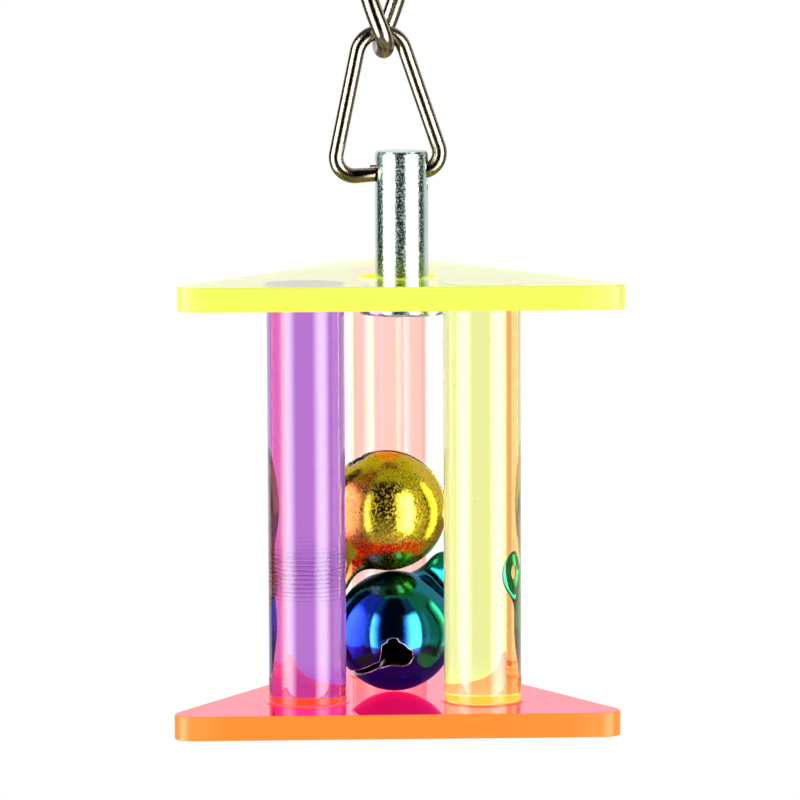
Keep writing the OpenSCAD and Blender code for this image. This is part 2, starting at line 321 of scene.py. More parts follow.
def hueShift(tree, colour, far):
    across = addNode(tree, "ShaderNodeVectorMath", operation="DOT_PRODUCT")
    tree.links.new(objectCoords(tree, shift=far["middle"] * -mm), across.inputs[0])
    across.inputs[1].default_value = far["way"]
    reach = mapRange(tree, across.outputs["Value"], -far["reach"] * mm, far["reach"] * mm)
    return ramp(tree, reach, list(zip(far["stops"], (far["low"], colour, colour, far["high"]))))


metal = {
    "grain": {"detail": 4.0, "roughness": 0.65},
    "bump": 0.6,
    "dull": (0.45, 0.6),  # between these heights of the grain the metal turns dull
    "cloud": 4.0,
    "cloudDark": 0.88,
    "coatRoughness": 0.03,
}


def metalFinish(name, colour, roughness, grain, depth, coat=0.0, mottle=1.6, speck=None, far=None,
                edge=(1.0, 1.0, 1.0)):
    finish, tree, shader = newFinish(name, {
        "Metallic": 1.0,
        "Specular Tint": opaque(edge),  # hue of the gloss towards the outline
        "Coat Weight": coat,
        "Coat Roughness": metal["coatRoughness"],
    })
    field = noiseField(tree, grain, **metal["grain"])
    addBump(tree, shader, field, metal["bump"], depth)
    rough = mapRange(tree, field, *metal["dull"], roughness, roughness * mottle)
    tree.links.new(rough, shader.inputs["Roughness"])
    cloudStops = [(0.3, grey(metal["cloudDark"])), (0.65, grey(1))]
    cloud = ramp(tree, noiseField(tree, metal["cloud"]), cloudStops)
    # with far, the hue shifts across the piece: partly the plating's own shimmer, partly painted reflection
    # of the yellow things beside it
    hue = tinted(tree, cloud, hueShift(tree, colour, far) if far else colour)
    if speck:
        hue = tinted(tree, hue, speckled(tree, grey(1), speck))
    tree.links.new(hue, shader.inputs["Base Color"])
    return finish


yellowSheet = acrylicFinish("yellowSheet", (0.80, 0.86, 0.14), gloss=0.93)
pinkSheet = acrylicFinish("pinkSheet", (0.90, 0.008, 0.10), glow=(0.14, 0.0, 0.022))
yellowRim = rimFinish("yellowRim", deep=(0.70, 0.76, 0.085), pale=(0.72, 0.76, 0.14), glow=0.56)
orangeRim = rimFinish("orangeRim", deep=(0.80, 0.215, 0.022), pale=(0.81, 0.25, 0.04), glow=0.6)
# painted light: the hole's wall glows brighter than the rest of the rim, though it lies in shade
holeGlowRim = rimFinish("holeGlowRim", deep=(0.74, 0.80, 0.06), pale=(0.74, 0.80, 0.06), glow=0.95)
purpleAcrylic = acrylicFinish("purpleAcrylic", (0.515, 0.195, 0.672), scuffed=True,
                              footLightTint=rodFoot["magenta"])
yellowAcrylic = acrylicFinish("yellowAcrylic", (0.90, 0.93, 0.37), footGlow=rodFoot["amber"])
pinkAcrylic = acrylicFinish("pinkAcrylic", (0.975, 0.585, 0.53), glow=(0.2, 0.035, 0.02), gloss=0.55)
clearCement = acrylicFinish("clearCement", (0.93, 0.80, 0.80))
# glowing films at the rods' ends, painted light for the light seen through each bond; for the purple, the
# yellow and the pink rod
bondGlowFilms = {
    "top_cement": (filmFinish("purpleTopBond", (0.22, 0.17, 0.21), 0.35),
                   filmFinish("yellowTopBond", (0.72, 0.74, 0.33), 0.35),
                   filmFinish("pinkTopBond", (0.95, 0.45, 0.36), 0.6)),
    "bottom_cement": (filmFinish("purpleFootBond", (1.0, 0.2, 0.02), 1.1),
                      filmFinish("yellowFootBond", (0.95, 0.39, 0.09), 0.7),
                      filmFinish("pinkFootBond", (1.0, 0.30, 0.22), 0.7)),
}
zincFinish = metalFinish("zincPlate", (0.53, 0.67, 0.62), roughness=0.05, grain=0.2, depth=0.035, mottle=7)
nickelFinish = metalFinish("nickelPlate", (0.25, 0.215, 0.16), roughness=0.07, grain=0.30, depth=0.045)
steelFinish = metalFinish("steelLink", (0.70, 0.71, 0.73), roughness=0.16, grain=0.3, depth=0.02)
goldFinish = metalFinish("goldPlate", (0.58, 0.42, 0.03), roughness=0.07, grain=0.3, depth=0.03, coat=0.3,
                         mottle=6, speck={"apart": 0.55, "radius": 0.09, "dark": 0.2},
                         edge=(0.90, 0.66, 0.08))
# the blue bell turns teal towards the right and top, partly painted reflection of the yellow rod and plate
# there, and deeper blue at the left
blueReflectionShift = {"middle": boxMiddle("blue_bell_cup"), "way": (0.85, 0.0, 0.53), "reach": 7.5,
             "stops": (0.1, 0.38, 0.6, 0.95), "low": (0.003, 0.06, 0.5), "high": (0.0, 0.17, 0.17)}
blueFinish = metalFinish("bluePlate", (0.012, 0.125, 0.60), roughness=0.07, grain=0.4, depth=0.02, coat=0.2,
                         speck={"apart": 1.5, "radius": 0.05, "dark": 0.15}, far=blueReflectionShift,
                         edge=(0.03, 0.5, 0.8))
bareEdge = metalFinish("bareEdge", (0.52, 0.58, 0.64), roughness=0.25, grain=0.3, depth=0.02)
peaFinish = metalFinish("peaSteel", (0.42, 0.43, 0.45), roughness=0.3, grain=0.4, depth=0.03)
# painted shade: the inside of each shell is near black
bellInsideShade = filmFinish("bellInsideShade", grey(0.012), 0.0)
print("finishes made")


def newObject(name, data):
    thing = bpy.data.objects.new(name, data)
    scene.collection.objects.link(thing)
    return thing


def meshObject(name, bm, finishes):
    mesh = bpy.data.meshes.new(name)
    bm.to_mesh(mesh)
    bm.free()
    for finish in finishes:
        mesh.materials.append(finish)
    return newObject(name, mesh)


def evaluatedMesh(thing):
    bpy.context.view_layer.update()
    return bpy.data.meshes.new_from_object(thing.evaluated_get(bpy.context.evaluated_depsgraph_get()))


def smoothPiece(piece, sharp):
    for face in piece.data.polygons:
        face.use_smooth = True
    piece.data.set_sharp_from_angle(angle=math.radians(sharp))


def finishPiece(name, bm, finishes, body, node, sharp=35.0):
    piece = meshObject(name, bm, finishes)
    smoothPiece(piece, sharp)
    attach(piece, body)
    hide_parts(node)
    return piece


def cutAway(piece, bm, finish, sharp):
    bmesh.ops.recalc_face_normals(bm, faces=bm.faces[:])
    cutter = meshObject("cutter", bm, [finish])
    cut = piece.modifiers.new("cut", "BOOLEAN")
    cut.operation = "DIFFERENCE"
    cut.solver = "EXACT"
    cut.material_mode = "TRANSFER"
    cut.object = cutter
    done = evaluatedMesh(piece)
    spent = [piece.data, cutter.data]
    piece.modifiers.clear()
    piece.data = done
    bpy.data.objects.remove(cutter)
    for mesh in spent:
        bpy.data.meshes.remove(mesh)
    done.name = piece.name
    smoothPiece(piece, sharp)


def joinTo(piece, bm, sharp):
    bm.from_mesh(piece.data)
    bm.to_mesh(piece.data)
    bm.free()
    smoothPiece(piece, sharp)


def raisedVerts(extruded):
    return [part for part in extruded["geom"] if isinstance(part, bmesh.types.BMVert)]


def breakEdges(bm, edges, width, steps):
    bmesh.ops.bevel(bm, geom=edges, offset=width * mm, segments=steps, profile=0.5,
                    affect="EDGES", material=-1)


flatSharp = 15.0  # keeps the broken edges from bending the shading of the faces beside them
squareEdge = 1.2  # radians: sharper edges than this are broken
flatFace = 0.99  # a face whose normal is this upright is a flat side, and no broken edge

plate = {
    "side": 57.7,
    "corner": 2.6,
    "cornerSteps": 14,
    "thick": 3.0,
    "hole": 9.7,
    "holeSteps": 72,
    "holeReach": 0.3,  # faces this close to the hole take its rim's finish, whose brighter glow is painted light
    "edgeBreak": 0.12,
    "topShift": Vector((0.8, 1.7, 0.0)),  # the top plate was glued on by hand, a little off
    "topTurn": -0.45,
}


def plateBlank(low, turn, shift, hole):
    bm = bmesh.new()
    bmesh.ops.create_circle(bm, cap_ends=True, radius=plate["side"] / math.sqrt(3) * mm, segments=3)
    tip = max(bm.verts, key=lambda v: v.co.y).co
    bmesh.ops.rotate(bm, verts=bm.verts, matrix=spinTurn(90 - math.degrees(math.atan2(tip.y, tip.x))))
    bmesh.ops.bevel(bm, geom=bm.verts[:], offset=plate["corner"] * math.sqrt(3) * mm, offset_type="OFFSET",
                    segments=plate["cornerSteps"], profile=0.5, affect="VERTICES", material=-1)
    holeRadius = plate["hole"] / 2
    if hole:
        bmesh.ops.delete(bm, geom=bm.faces[:], context="FACES_ONLY")
        bmesh.ops.create_circle(bm, cap_ends=False, radius=holeRadius * mm, segments=plate["holeSteps"])
        bmesh.ops.triangle_fill(bm, edges=bm.edges[:], use_beauty=True)
    raised = bmesh.ops.extrude_face_region(bm, geom=bm.faces[:])
    bmesh.ops.translate(bm, verts=raisedVerts(raised), vec=(0, 0, plate["thick"] * mm))
    bmesh.ops.recalc_face_normals(bm, faces=bm.faces[:])
    corners = [e for e in bm.edges if len(e.link_faces) == 2 and e.calc_face_angle() > squareEdge
               and abs(e.verts[0].co.z - e.verts[1].co.z) < tiny]
    breakEdges(bm, corners, plate["edgeBreak"], steps=2)
    bm.normal_update()
    for face in bm.faces:
        face.material_index = 0 if abs(face.normal.z) > flatFace else 1
        out = face.calc_center_median().xy.length / mm
        if face.material_index and out < holeRadius + plate["holeReach"]:
            face.material_index = 2
    place = Matrix.Translation((hang["cage"] + shift + Vector((0, 0, low))) * mm) @ spinTurn(turn)
    bmesh.ops.transform(bm, matrix=place, verts=bm.verts)
    return bm


finishPiece("topPlate", plateBlank(hang["cageTop"], plate["topTurn"], plate["topShift"], True),
            [yellowSheet, yellowRim, holeGlowRim], "cage", "top_plate", flatSharp)
finishPiece("bottomPlate", plateBlank(hang["cageLow"] - plate["thick"], 0.0, Vector(), False),
            [pinkSheet, orangeRim], "cage", "bottom_plate", flatSharp)
print("plates made")

rod = {"segments": 160, "endBreak": 0.15, "seat": 0.01}
rods = {
    "purpleRod": ("purple_rod", purpleAcrylic, "purple_acrylic"),
    "yellowRod": ("yellow_rod", yellowAcrylic, "yellow_acrylic"),
    "pinkRod": ("pink_rod", pinkAcrylic, "pink_acrylic"),
}

for order, (rodName, (node, finish, slotName)) in enumerate(rods.items()):
    low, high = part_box(node)
    radius = (high.x - low.x) / 2
    bm = bmesh.new()
    bmesh.ops.create_cone(bm, cap_ends=True, segments=rod["segments"], radius1=radius, radius2=radius,
                          depth=high.z - low.z - 2 * rod["seat"] * mm)
    ends = [e for e in bm.edges if e.calc_face_angle() > squareEdge]
    breakEdges(bm, ends, rod["endBreak"], steps=3)
    bmesh.ops.translate(bm, verts=bm.verts, vec=(low + high) / 2)
    bm.normal_update()
    for face in bm.faces:  # the wetted ends show the bond's glowing film, painted light, instead of a mirror
        if abs(face.normal.z) > flatFace:
            face.material_index = 1 if face.normal.z > 0 else 2
    coats = [finish, bondGlowFilms["top_cement"][order], bondGlowFilms["bottom_cement"][order]]
    finishPiece(rodName, bm, coats, "cage", node, flatSharp)
print("rods made")

cement = {
    "segments": 96,
    "lip": 0.42,
    "wander": 0.16,
    "bulges": 1.7,  # more of them the larger this is
    "seat": 0.004,
    "weld": 0.03,
}


def cementFilms(node, into):
    # an uneven disc at each rod's end, melted into its plate: the bond itself, painted with a glowing film,
    # and clear squeeze-out round it
    low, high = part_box(node)
    start = low.z + (cement["seat"] if into > 0 else -cement["weld"]) * mm
    stop = high.z + (cement["weld"] if into > 0 else -cement["seat"]) * mm
    bm = bmesh.new()
    for order, rodNode in enumerate(spec[0] for spec in rods.values()):
        rodLow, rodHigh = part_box(rodNode)
        middle = (rodLow + rodHigh) / 2
        lip = (rodHigh.x - rodLow.x) / 2 + cement["lip"] * mm
        ring = bmesh.ops.create_circle(bm, cap_ends=True, radius=lip, segments=cement["segments"])["verts"]
        seed = Vector((order * 3.1, low.z * 90, 0))  # no two films alike
        for vert in ring:
            way = vert.co.normalized()
            bulge = noise.noise(way * cement["bulges"] + seed)
            vert.co += way * bulge * cement["wander"] * mm
        disc = ring[0].link_faces[0]
        bmesh.ops.translate(bm, verts=ring, vec=(middle.x, middle.y, start))
        raised = bmesh.ops.extrude_face_region(bm, geom=[disc])
        bmesh.ops.translate(bm, verts=raisedVerts(raised), vec=(0, 0, stop - start))
        caps = [disc] + [part for part in raised["geom"] if isinstance(part, bmesh.types.BMFace)]
        for cap in caps:
            bmesh.ops.inset_individual(bm, faces=[cap], thickness=cement["lip"] * mm, use_even_offset=True)
            cap.material_index = order + 1
    bmesh.ops.recalc_face_normals(bm, faces=bm.faces[:])
    return bm


for name, node, into in (("topCement", "top_cement", 1), ("bottomCement", "bottom_cement", -1)):
    finishPiece(name, cementFilms(node, into), [clearCement, *bondGlowFilms[node]], "cage", node)
print("cement made")


def arc(centre, radius, start, stop, steps):
    angles = [math.radians(start + (stop - start) * i / steps) for i in range(steps + 1)]
    return [centre + Vector((math.cos(a), math.sin(a), 0)) * radius for a in angles]


def sweepWire(path, radius, closed, place, sides=7, taper=None):
    # round wire along a path; taper lists the wire's share of its radius at each point
    curve = bpy.data.curves.new("wire", "CURVE")
    curve.dimensions = "3D"
    curve.bevel_depth = radius * mm
    curve.bevel_resolution = sides
    curve.use_fill_caps = not closed
    line = curve.splines.new("POLY")
    line.points.add(len(path) - 1)
    for order, (point, spot) in enumerate(zip(line.points, path)):
        point.co = (*(place @ (spot * mm)), 1.0)
        point.radius = taper[order] if taper else 1.0
    line.use_cyclic_u = closed
    holder = newObject("wire", curve)
    mesh = evaluatedMesh(holder)
    bm = bmesh.new()
    bm.from_mesh(mesh)
    bmesh.ops.remove_doubles(bm, verts=bm.verts, dist=tiny)
    bmesh.ops.recalc_face_normals(bm, faces=bm.faces[:])
    bpy.data.objects.remove(holder)
    bpy.data.curves.remove(curve)
    bpy.data.meshes.remove(mesh)
    return bm


turnSteps = 128


def turned(profile):
    bm = bmesh.new()
    verts = [bm.verts.new((r * mm, 0, z * mm)) for r, z in profile]
    edges = [bm.edges.new(pair) for pair in zip(verts, verts[1:])]
    bmesh.ops.spin(bm, geom=verts + edges, cent=(0, 0, 0), axis=(0, 0, 1), angle=2 * math.pi,
                   steps=turnSteps, use_merge=True, use_duplicate=False)
    bmesh.ops.remove_doubles(bm, verts=bm.verts, dist=tiny)
    bmesh.ops.recalc_face_normals(bm, faces=bm.faces[:])
    return bm


def drill(radius, place, length=12.0, segments=48):
    bm = bmesh.new()
    bmesh.ops.create_cone(bm, cap_ends=True, segments=segments, radius1=radius * mm, radius2=radius * mm,
                          depth=length * mm)
    bmesh.ops.transform(bm, matrix=place, verts=bm.verts)
    return bm


pin = {
    "shank": 3.3,
    "neck": 0.1,
    "flange": 5.3,
    "flangeThick": 1.5,
    "flangeRound": 0.35,  # at its lower edge
    "flangeBreak": 0.15,  # at its upper edge
    "eye": 1.5,
    "chamfer": 0.4,
    "seat": 0.12,
    # a sliver of metal left at the cross hole's right-hand mouth
    "burr": 0.16,
    "burrPath": ((2.95, -1.05, -0.8), (3.25, -0.9, -1.4), (3.45, -0.75, -2.0), (3.5, -0.7, -2.45)),
    "burrTaper": (1.0, 0.9, 0.6, 0.15),
}


def pinProfile():
    shank, neck, chamfer, top = pin["shank"], pin["neck"], pin["chamfer"], hang["pinTop"]
    flange, lowRound, highBreak = pin["flange"], pin["flangeRound"], pin["flangeBreak"]
    flangeTop = hang["cageTop"] - pin["seat"]
    flangeLow = flangeTop - pin["flangeThick"]
    knuckle = 0.1
    return [
        (0, flangeLow),
        (flange - lowRound, flangeLow),
        (flange - knuckle, flangeLow + knuckle),
        (flange, flangeLow + lowRound),
        (flange, flangeTop - highBreak),
        (flange - highBreak, flangeTop),
        (shank + neck, flangeTop),
        (shank, flangeTop + neck),
        (shank, top - chamfer),
        (shank - chamfer * 0.3, top - chamfer * 0.3),
        (shank - chamfer, top),
        (0, top),
    ]


triangle = {
    "wire": 0.93,
    "halfAngle": 15.35,
    "apexRadius": 3.03,
    "apexSteps": 36,
    "cornerRadius": 2.3,
    "cornerSteps": 24,
    "drop": 14.44,
    "lean": 3.58,
    "alongBar": 1.54,  # from the link's middle line to the pin
    "eyeDrop": 2.75,
    # the wire's ends, along the bar from the pin's left side, then up; the right-hand one was cut on a slant,
    # and its tip shows over the other
    "rightEnd": ((-0.55, 1.07), (0.15, 1.06), (0.6, 0.72), (1.9, 0.0)),
    "rightTaper": (0.13, 0.13, 0.4),
    "leftEnd": ((0.05, 0.0), (0.9, -0.65)),
    "leftTaper": (0.3,),
}
tilt = math.radians(triangle["lean"])
barAt = hang["pinAxis"] + Vector((0, 0, hang["pinTop"] - triangle["eyeDrop"]))
apexAt = barAt - Vector((triangle["alongBar"] * math.cos(tilt) + triangle["drop"] * math.sin(tilt), 0,
                         triangle["alongBar"] * math.sin(tilt) - triangle["drop"] * math.cos(tilt)))
barPlace = Matrix.Translation(barAt * mm)

bm = turned(pinProfile())
bmesh.ops.translate(bm, verts=bm.verts, vec=hang["pinAxis"] * mm)
hangerPin = finishPiece("hangerPin", bm, [zincFinish], "pin", "hanger_pin", flatSharp)
cutAway(hangerPin, drill(pin["eye"], barPlace @ spinTurn(90, "Y")), zincFinish, flatSharp)
burrPath = [Vector(spot) for spot in pin["burrPath"]]
burr = sweepWire(burrPath, pin["burr"], False, barPlace, sides=3, taper=pin["burrTaper"])
joinTo(hangerPin, burr, flatSharp)
print("pin made")


def trianglePath():
    half, drop, corner = triangle["halfAngle"], triangle["drop"], triangle["cornerRadius"]
    side = triangle["alongBar"] - pin["shank"]
    cornerX = (triangle["apexRadius"] - corner + (drop - corner) * math.sin(math.radians(half)))
    cornerX /= math.cos(math.radians(half))
    cornerY = corner - drop
    path = [Vector((side + along, up - drop, 0)) for along, up in triangle["rightEnd"]]
    path += arc(Vector((cornerX, cornerY, 0)), corner, -90, half, triangle["cornerSteps"])
    path += arc(Vector(), triangle["apexRadius"], half, 180 - half, triangle["apexSteps"])
    path += arc(Vector((-cornerX, cornerY, 0)), corner, 180 - half, 270, triangle["cornerSteps"])
    path += [Vector((side + along, up - drop, 0)) for along, up in triangle["leftEnd"]]
    whole = len(path) - len(triangle["rightTaper"]) - len(triangle["leftTaper"])
    return path, (*triangle["rightTaper"], *(1.0,) * whole, *triangle["leftTaper"])


trianglePlace = Matrix.Translation(apexAt * mm) @ spinTurn(-triangle["lean"], "Y") @ spinTurn(90, "X")
path, taper = trianglePath()
finishPiece("triangleLink", sweepWire(path, triangle["wire"], False, trianglePlace, taper=taper),
            [nickelFinish], "triangle", "triangle_link")

chain = {"wire": 1.1, "halfWidth": 2.8, "span": 11.2, "twist": 90.0, "legSteps": 14, "bendSteps": 28}


def twistedPath():
    half, span, steps = chain["halfWidth"], chain["span"], chain["legSteps"]
    rise = span - 2 * half
    legs = [half + rise * i / steps for i in range(1, steps)]
    flat = arc(Vector((0, half, 0)), half, 180, 360, chain["bendSteps"])
    flat += [Vector((half, up, 0)) for up in legs]
    flat += arc(Vector((0, span - half, 0)), half, 0, 180, chain["bendSteps"])
    flat += [Vector((-half, up, 0)) for up in reversed(legs)]
    twisted = []
    for spot in flat:
        turn = math.radians(hang["chainTurn"] - chain["twist"] * spot.y / span)
        twisted.append(Vector((-spot.x * math.sin(turn), spot.x * math.cos(turn), spot.y)))
    return twisted


for order in (1, 2, 3):
    node = "chain_link_%d" % order
    lowest = Vector((0, 0, nodeBox(node)[0].z + chain["wire"]))
    bm = sweepWire(twistedPath(), chain["wire"], True, Matrix.Translation(lowest * mm))
    finishPiece("chainLink%d" % order, bm, [nickelFinish], "chain_%d" % order, node)

quick = {
    "wire": 1.15,
    "bend": 4.65,
    "bendSteps": 36,
    "top": -3.5,
    "low": -20.5,
    "gapLow": -18.9,
    "gapHigh": -14.1,
    "sleeveWidth": 4.4,  # across the flats of its hexagon
    "sleeveBore": 1.23,
    "sleeveBreak": 0.18,
}
quickPlace = spinTurn(hang["chainTurn"]) @ spinTurn(90, "Z") @ spinTurn(90, "X")
path = [Vector((quick["bend"], quick["gapHigh"], 0))]
path += arc(Vector((0, quick["top"], 0)), quick["bend"], 0, 180, quick["bendSteps"])
path += arc(Vector((0, quick["low"], 0)), quick["bend"], 180, 360, quick["bendSteps"])
path += [Vector((quick["bend"], quick["gapLow"], 0))]
finishPiece("quickLink", sweepWire(path, quick["wire"], False, quickPlace),
            [steelFinish], "quick_link", "quick_link")

low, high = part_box("quick_link_sleeve")
sleeveAt = (low + high) / 2
cornerReach = quick["sleeveWidth"] / 2 / math.cos(math.radians(30)) * mm
bm = bmesh.new()
bmesh.ops.create_cone(bm, cap_ends=True, segments=6, radius1=cornerReach, radius2=cornerReach,
                      depth=high.z - low.z)
firstCorner = next(iter(bm.verts)).co
cornerTurn = hang["chainTurn"] - math.degrees(math.atan2(firstCorner.y, firstCorner.x))
bmesh.ops.rotate(bm, verts=bm.verts, matrix=spinTurn(cornerTurn))
breakEdges(bm, bm.edges[:], quick["sleeveBreak"], steps=3)
bmesh.ops.translate(bm, verts=bm.verts, vec=sleeveAt)
sleeve = finishPiece("quickLinkSleeve", bm, [steelFinish], "sleeve", "quick_link_sleeve", flatSharp)
cutAway(sleeve, drill(quick["sleeveBore"], Matrix.Translation(sleeveAt)), steelFinish, flatSharp)
print("wires made")

bell = {
    "radius": 7.5,
    "wall": 0.35,
    "skin": 0.1,  # what lies further in than this is the inside
    "seam": 0.012,
    "seamAngle": 89.9,
    "sharp": 50.0,
    "wobble": 0.03,
    "bulges": 1.4,
    "domeRows": (26, 24),  # outside, inside
    "cupRows": (48, 30),
    "peaDrop": 5.03,
    # the loop, with its outlines' pulls where they flare into the shell
    "loopHeight": 5.4,
    "loopHalfWidth": 2.9,
    "loopHalfThick": 0.7,
    "loopSquare": 3.6,  # 2 would be an oval section, more is a slab with round edges
    "tipSteps": 12,
    "flareSteps": 22,
    "broadPull": 8.4,
    "broadFlare": 1.1,
    "thinPull": 7.3,
    "thinFlare": (1.6, 7.45),
    "footAngle": 33.0,
    "eye": 0.9,
    "eyeDrop": 2.6,
    # the slit and the holes at its ends
    "slit": 0.85,
    "slitLength": 12.4,
    "slitDepth": 6.0,
    "slitMiddle": -6.75,
    "slitAngle": 60.0,
    "holeLow": 4.5,
    "holeDepth": 5.0,
    "tornLip": 0.036,
    "lipSink": 0.4,  # share of its radius that the lip sits in the shell
    "lipSteps": 11,
}
bells = {
    "goldBell": {
        "body": "gold_bell",
        "lie": (149.3, 168.7, 172.0),  # lean, bearing and turn of the slit
        "finish": goldFinish,
        "slot": "gold_plate",
        "dome": "gold_bell_dome",
        "cup": "gold_bell_cup",
        "pea": "gold_bell_pea",
        "peaBody": "gold_pea",
    },
    "blueBell": {
        "body": "blue_bell",
        "lie": (49.5, 29.2, -100.0),
        "finish": blueFinish,
        "slot": "blue_plate",
        "dome": "blue_bell_dome",
        "cup": "blue_bell_cup",
        "pea": "blue_bell_pea",
        "peaBody": "blue_pea",
    },
}
# torn hole at each end of the slit: along the slit towards the mouth, then across it
keyhole = [(3.3, -0.42), (2.5, -0.3), (1.7, -1.0), (0.9, -1.8), (0.1, -1.72), (-0.2, -1.92), (-0.85, -1.66),
           (-1.18, -1.2), (-1.04, -0.85), (-1.35, -0.1), (-1.38, 0.63), (-1.55, 1.2), (-1.2, 1.62),
           (-1.0, 2.05), (-0.28, 2.28), (0.4, 2.22), (1.1, 1.6), (1.78, 0.93), (2.5, 0.7), (3.3, 0.42)]


def bezier(p0, p1, p2, p3, steps):
    spots = []
    for i in range(1, steps + 1):
        t = i / steps
        u = 1 - t
        spots.append(tuple(u ** 3 * a + 3 * u * u * t * b + 3 * u * t * t * c + t ** 3 * d
                           for a, b, c, d in zip(p0, p1, p2, p3)))
    return spots


def onSphere(angle, radius):
    return radius * math.sin(math.radians(angle)), radius * math.cos(math.radians(angle))


def meridian(start, stop, radius, steps):
    # from one angle to another, without the first spot
    return [onSphere(start + (stop - start) * i / steps, radius) for i in range(1, steps + 1)]


def loopRows():
    # the pinched loop from its tip to its foot: broad outline, thin outline, squareness
    radius, half, thick = bell["radius"], bell["loopHalfWidth"], bell["loopHalfThick"]
    square, steps = bell["loopSquare"], bell["flareSteps"]
    endZ = radius + bell["loopHeight"] - half
    rows = []
    for i in range(bell["tipSteps"] + 1):
        a = math.radians(90 * i / bell["tipSteps"])
        width, z = half * math.sin(a), endZ + half * math.cos(a)
        roundOff = 1 - min(1.0, width / thick)
        rows.append((width, z, thick * math.sqrt(1 - roundOff ** 2), z, square))
    foot = onSphere(bell["footAngle"], radius)
    slope = onSphere(90 + bell["footAngle"], bell["broadFlare"])
    flare = (foot[0] - slope[0], foot[1] - slope[1])
    broad = bezier((half, endZ), (half, bell["broadPull"]), flare, foot, steps)
    thin = bezier((thick, endZ), (thick, bell["thinPull"]), bell["thinFlare"], foot, steps)
    for i, (b, t) in enumerate(zip(broad, thin), 1):
        rows.append((*b, *t, square + (2 - square) * i / steps))
    return rows


def squared(value, power):
    return math.copysign(abs(value) ** (2 / power), value)


def isOutside(spot):
    return spot.length > (bell["radius"] - bell["skin"]) * mm


# painted shade: faces inside the shell take the near-black finish
def shadeInside(bm):
    for face in bm.faces:
        if not isOutside(face.calc_center_median()):
            face.material_index = 1


def wobble(bm, seed):
    # hand-sized unevenness of pressed sheet
    for vert in bm.verts:
        if isOutside(vert.co):
            spot = vert.co / (bell["radius"] * mm)
            swell = noise.noise(spot * bell["bulges"] + Vector((seed, seed * 0.7, 0)))
            vert.co += vert.co.normalized() * swell * bell["wobble"] * mm


def bellDome(seed):
    radius, inner, foot = bell["radius"], bell["radius"] - bell["wall"], bell["footAngle"]
    rows = loopRows()
    outRows, inRows = bell["domeRows"]
    shell = meridian(foot, bell["seamAngle"], radius, outRows)
    shell += [(inner, bell["seam"])] + meridian(90, 0, inner, inRows)
    bm = turned([row[:2] for row in rows] + shell)
    shadeInside(bm)
    for vert in bm.verts:  # press the round stem above the foot to the loop's flat section
        reach, z = math.hypot(vert.co.x, vert.co.y), vert.co.z / mm
        if not isOutside(vert.co) or z < rows[-1][1] - 1e-4 or reach < tiny / 10:
            continue
        broad, broadZ, thin, thinZ, square = min(rows, key=lambda row: abs(row[1] - z))
        vert.co.x = squared(vert.co.x / reach, square) * thin * mm
        side = squared(vert.co.y / reach, square)
        vert.co.y = side * broad * mm
        vert.co.z = (broadZ * side ** 2 + thinZ * (1 - side ** 2)) * mm
    wobble(bm, seed)
    return bm


def bellCup(seed):
    radius, inner = bell["radius"], bell["radius"] - bell["wall"]
    outRows, inRows = bell["cupRows"]
    outside = [onSphere(0, radius)] + meridian(0, bell["seamAngle"], radius, outRows)
    inside = [(inner, bell["seam"])] + meridian(90, 0, inner, inRows)
    bm = turned([(r, -z) for r, z in outside + inside])
    shadeInside(bm)
    wobble(bm, seed)
    return bm


def keyholePlace(end):
    return spinTurn(180 * end) @ spinTurn(180 - bell["slitAngle"], "Y")


def keyholeCutter(end):
    bm = bmesh.new()
    bm.faces.new([bm.verts.new((x * mm, y * mm, bell["holeLow"] * mm)) for x, y in keyhole])
    raised = bmesh.ops.extrude_face_region(bm, geom=bm.faces[:])
    bmesh.ops.translate(bm, verts=raisedVerts(raised), vec=(0, 0, bell["holeDepth"] * mm))
    bmesh.ops.transform(bm, matrix=keyholePlace(end), verts=bm.verts)
    return bm


def slitCutter():
    size = Vector((bell["slitLength"], bell["slit"], bell["slitDepth"]))
    bm = bmesh.new()
    bmesh.ops.create_cube(bm, size=1.0)
    bmesh.ops.scale(bm, verts=bm.verts, vec=size * mm)
    bmesh.ops.translate(bm, verts=bm.verts, vec=(0, 0, bell["slitMiddle"] * mm))
    return bm


def tornLip():
    # bare metal turned up along the whole opening: hole, lip, hole, lip
    radius, steps = bell["radius"] - bell["tornLip"] * bell["lipSink"], bell["lipSteps"]
    path = []
    for end in (0, 1):
        for (x, y), (nextX, nextY) in zip(keyhole, keyhole[1:]):
            for share in (0, 0.34, 0.67):
                u, v = x + (nextX - x) * share, y + (nextY - y) * share
                path.append(keyholePlace(end) @ Vector((u, v, math.sqrt(radius ** 2 - u * u - v * v))))
        x, y = keyhole[-1]
        start = keyholePlace(end) @ Vector((x, y, math.sqrt(radius ** 2 - x * x - y * y)))
        for i in range(steps + 1):
            x = start.x * (1 - 2 * i / steps)
            path.append(Vector((x, start.y, -math.sqrt(radius ** 2 - x * x - start.y ** 2))))
    return sweepWire(path, bell["tornLip"], True, Matrix(), sides=2)


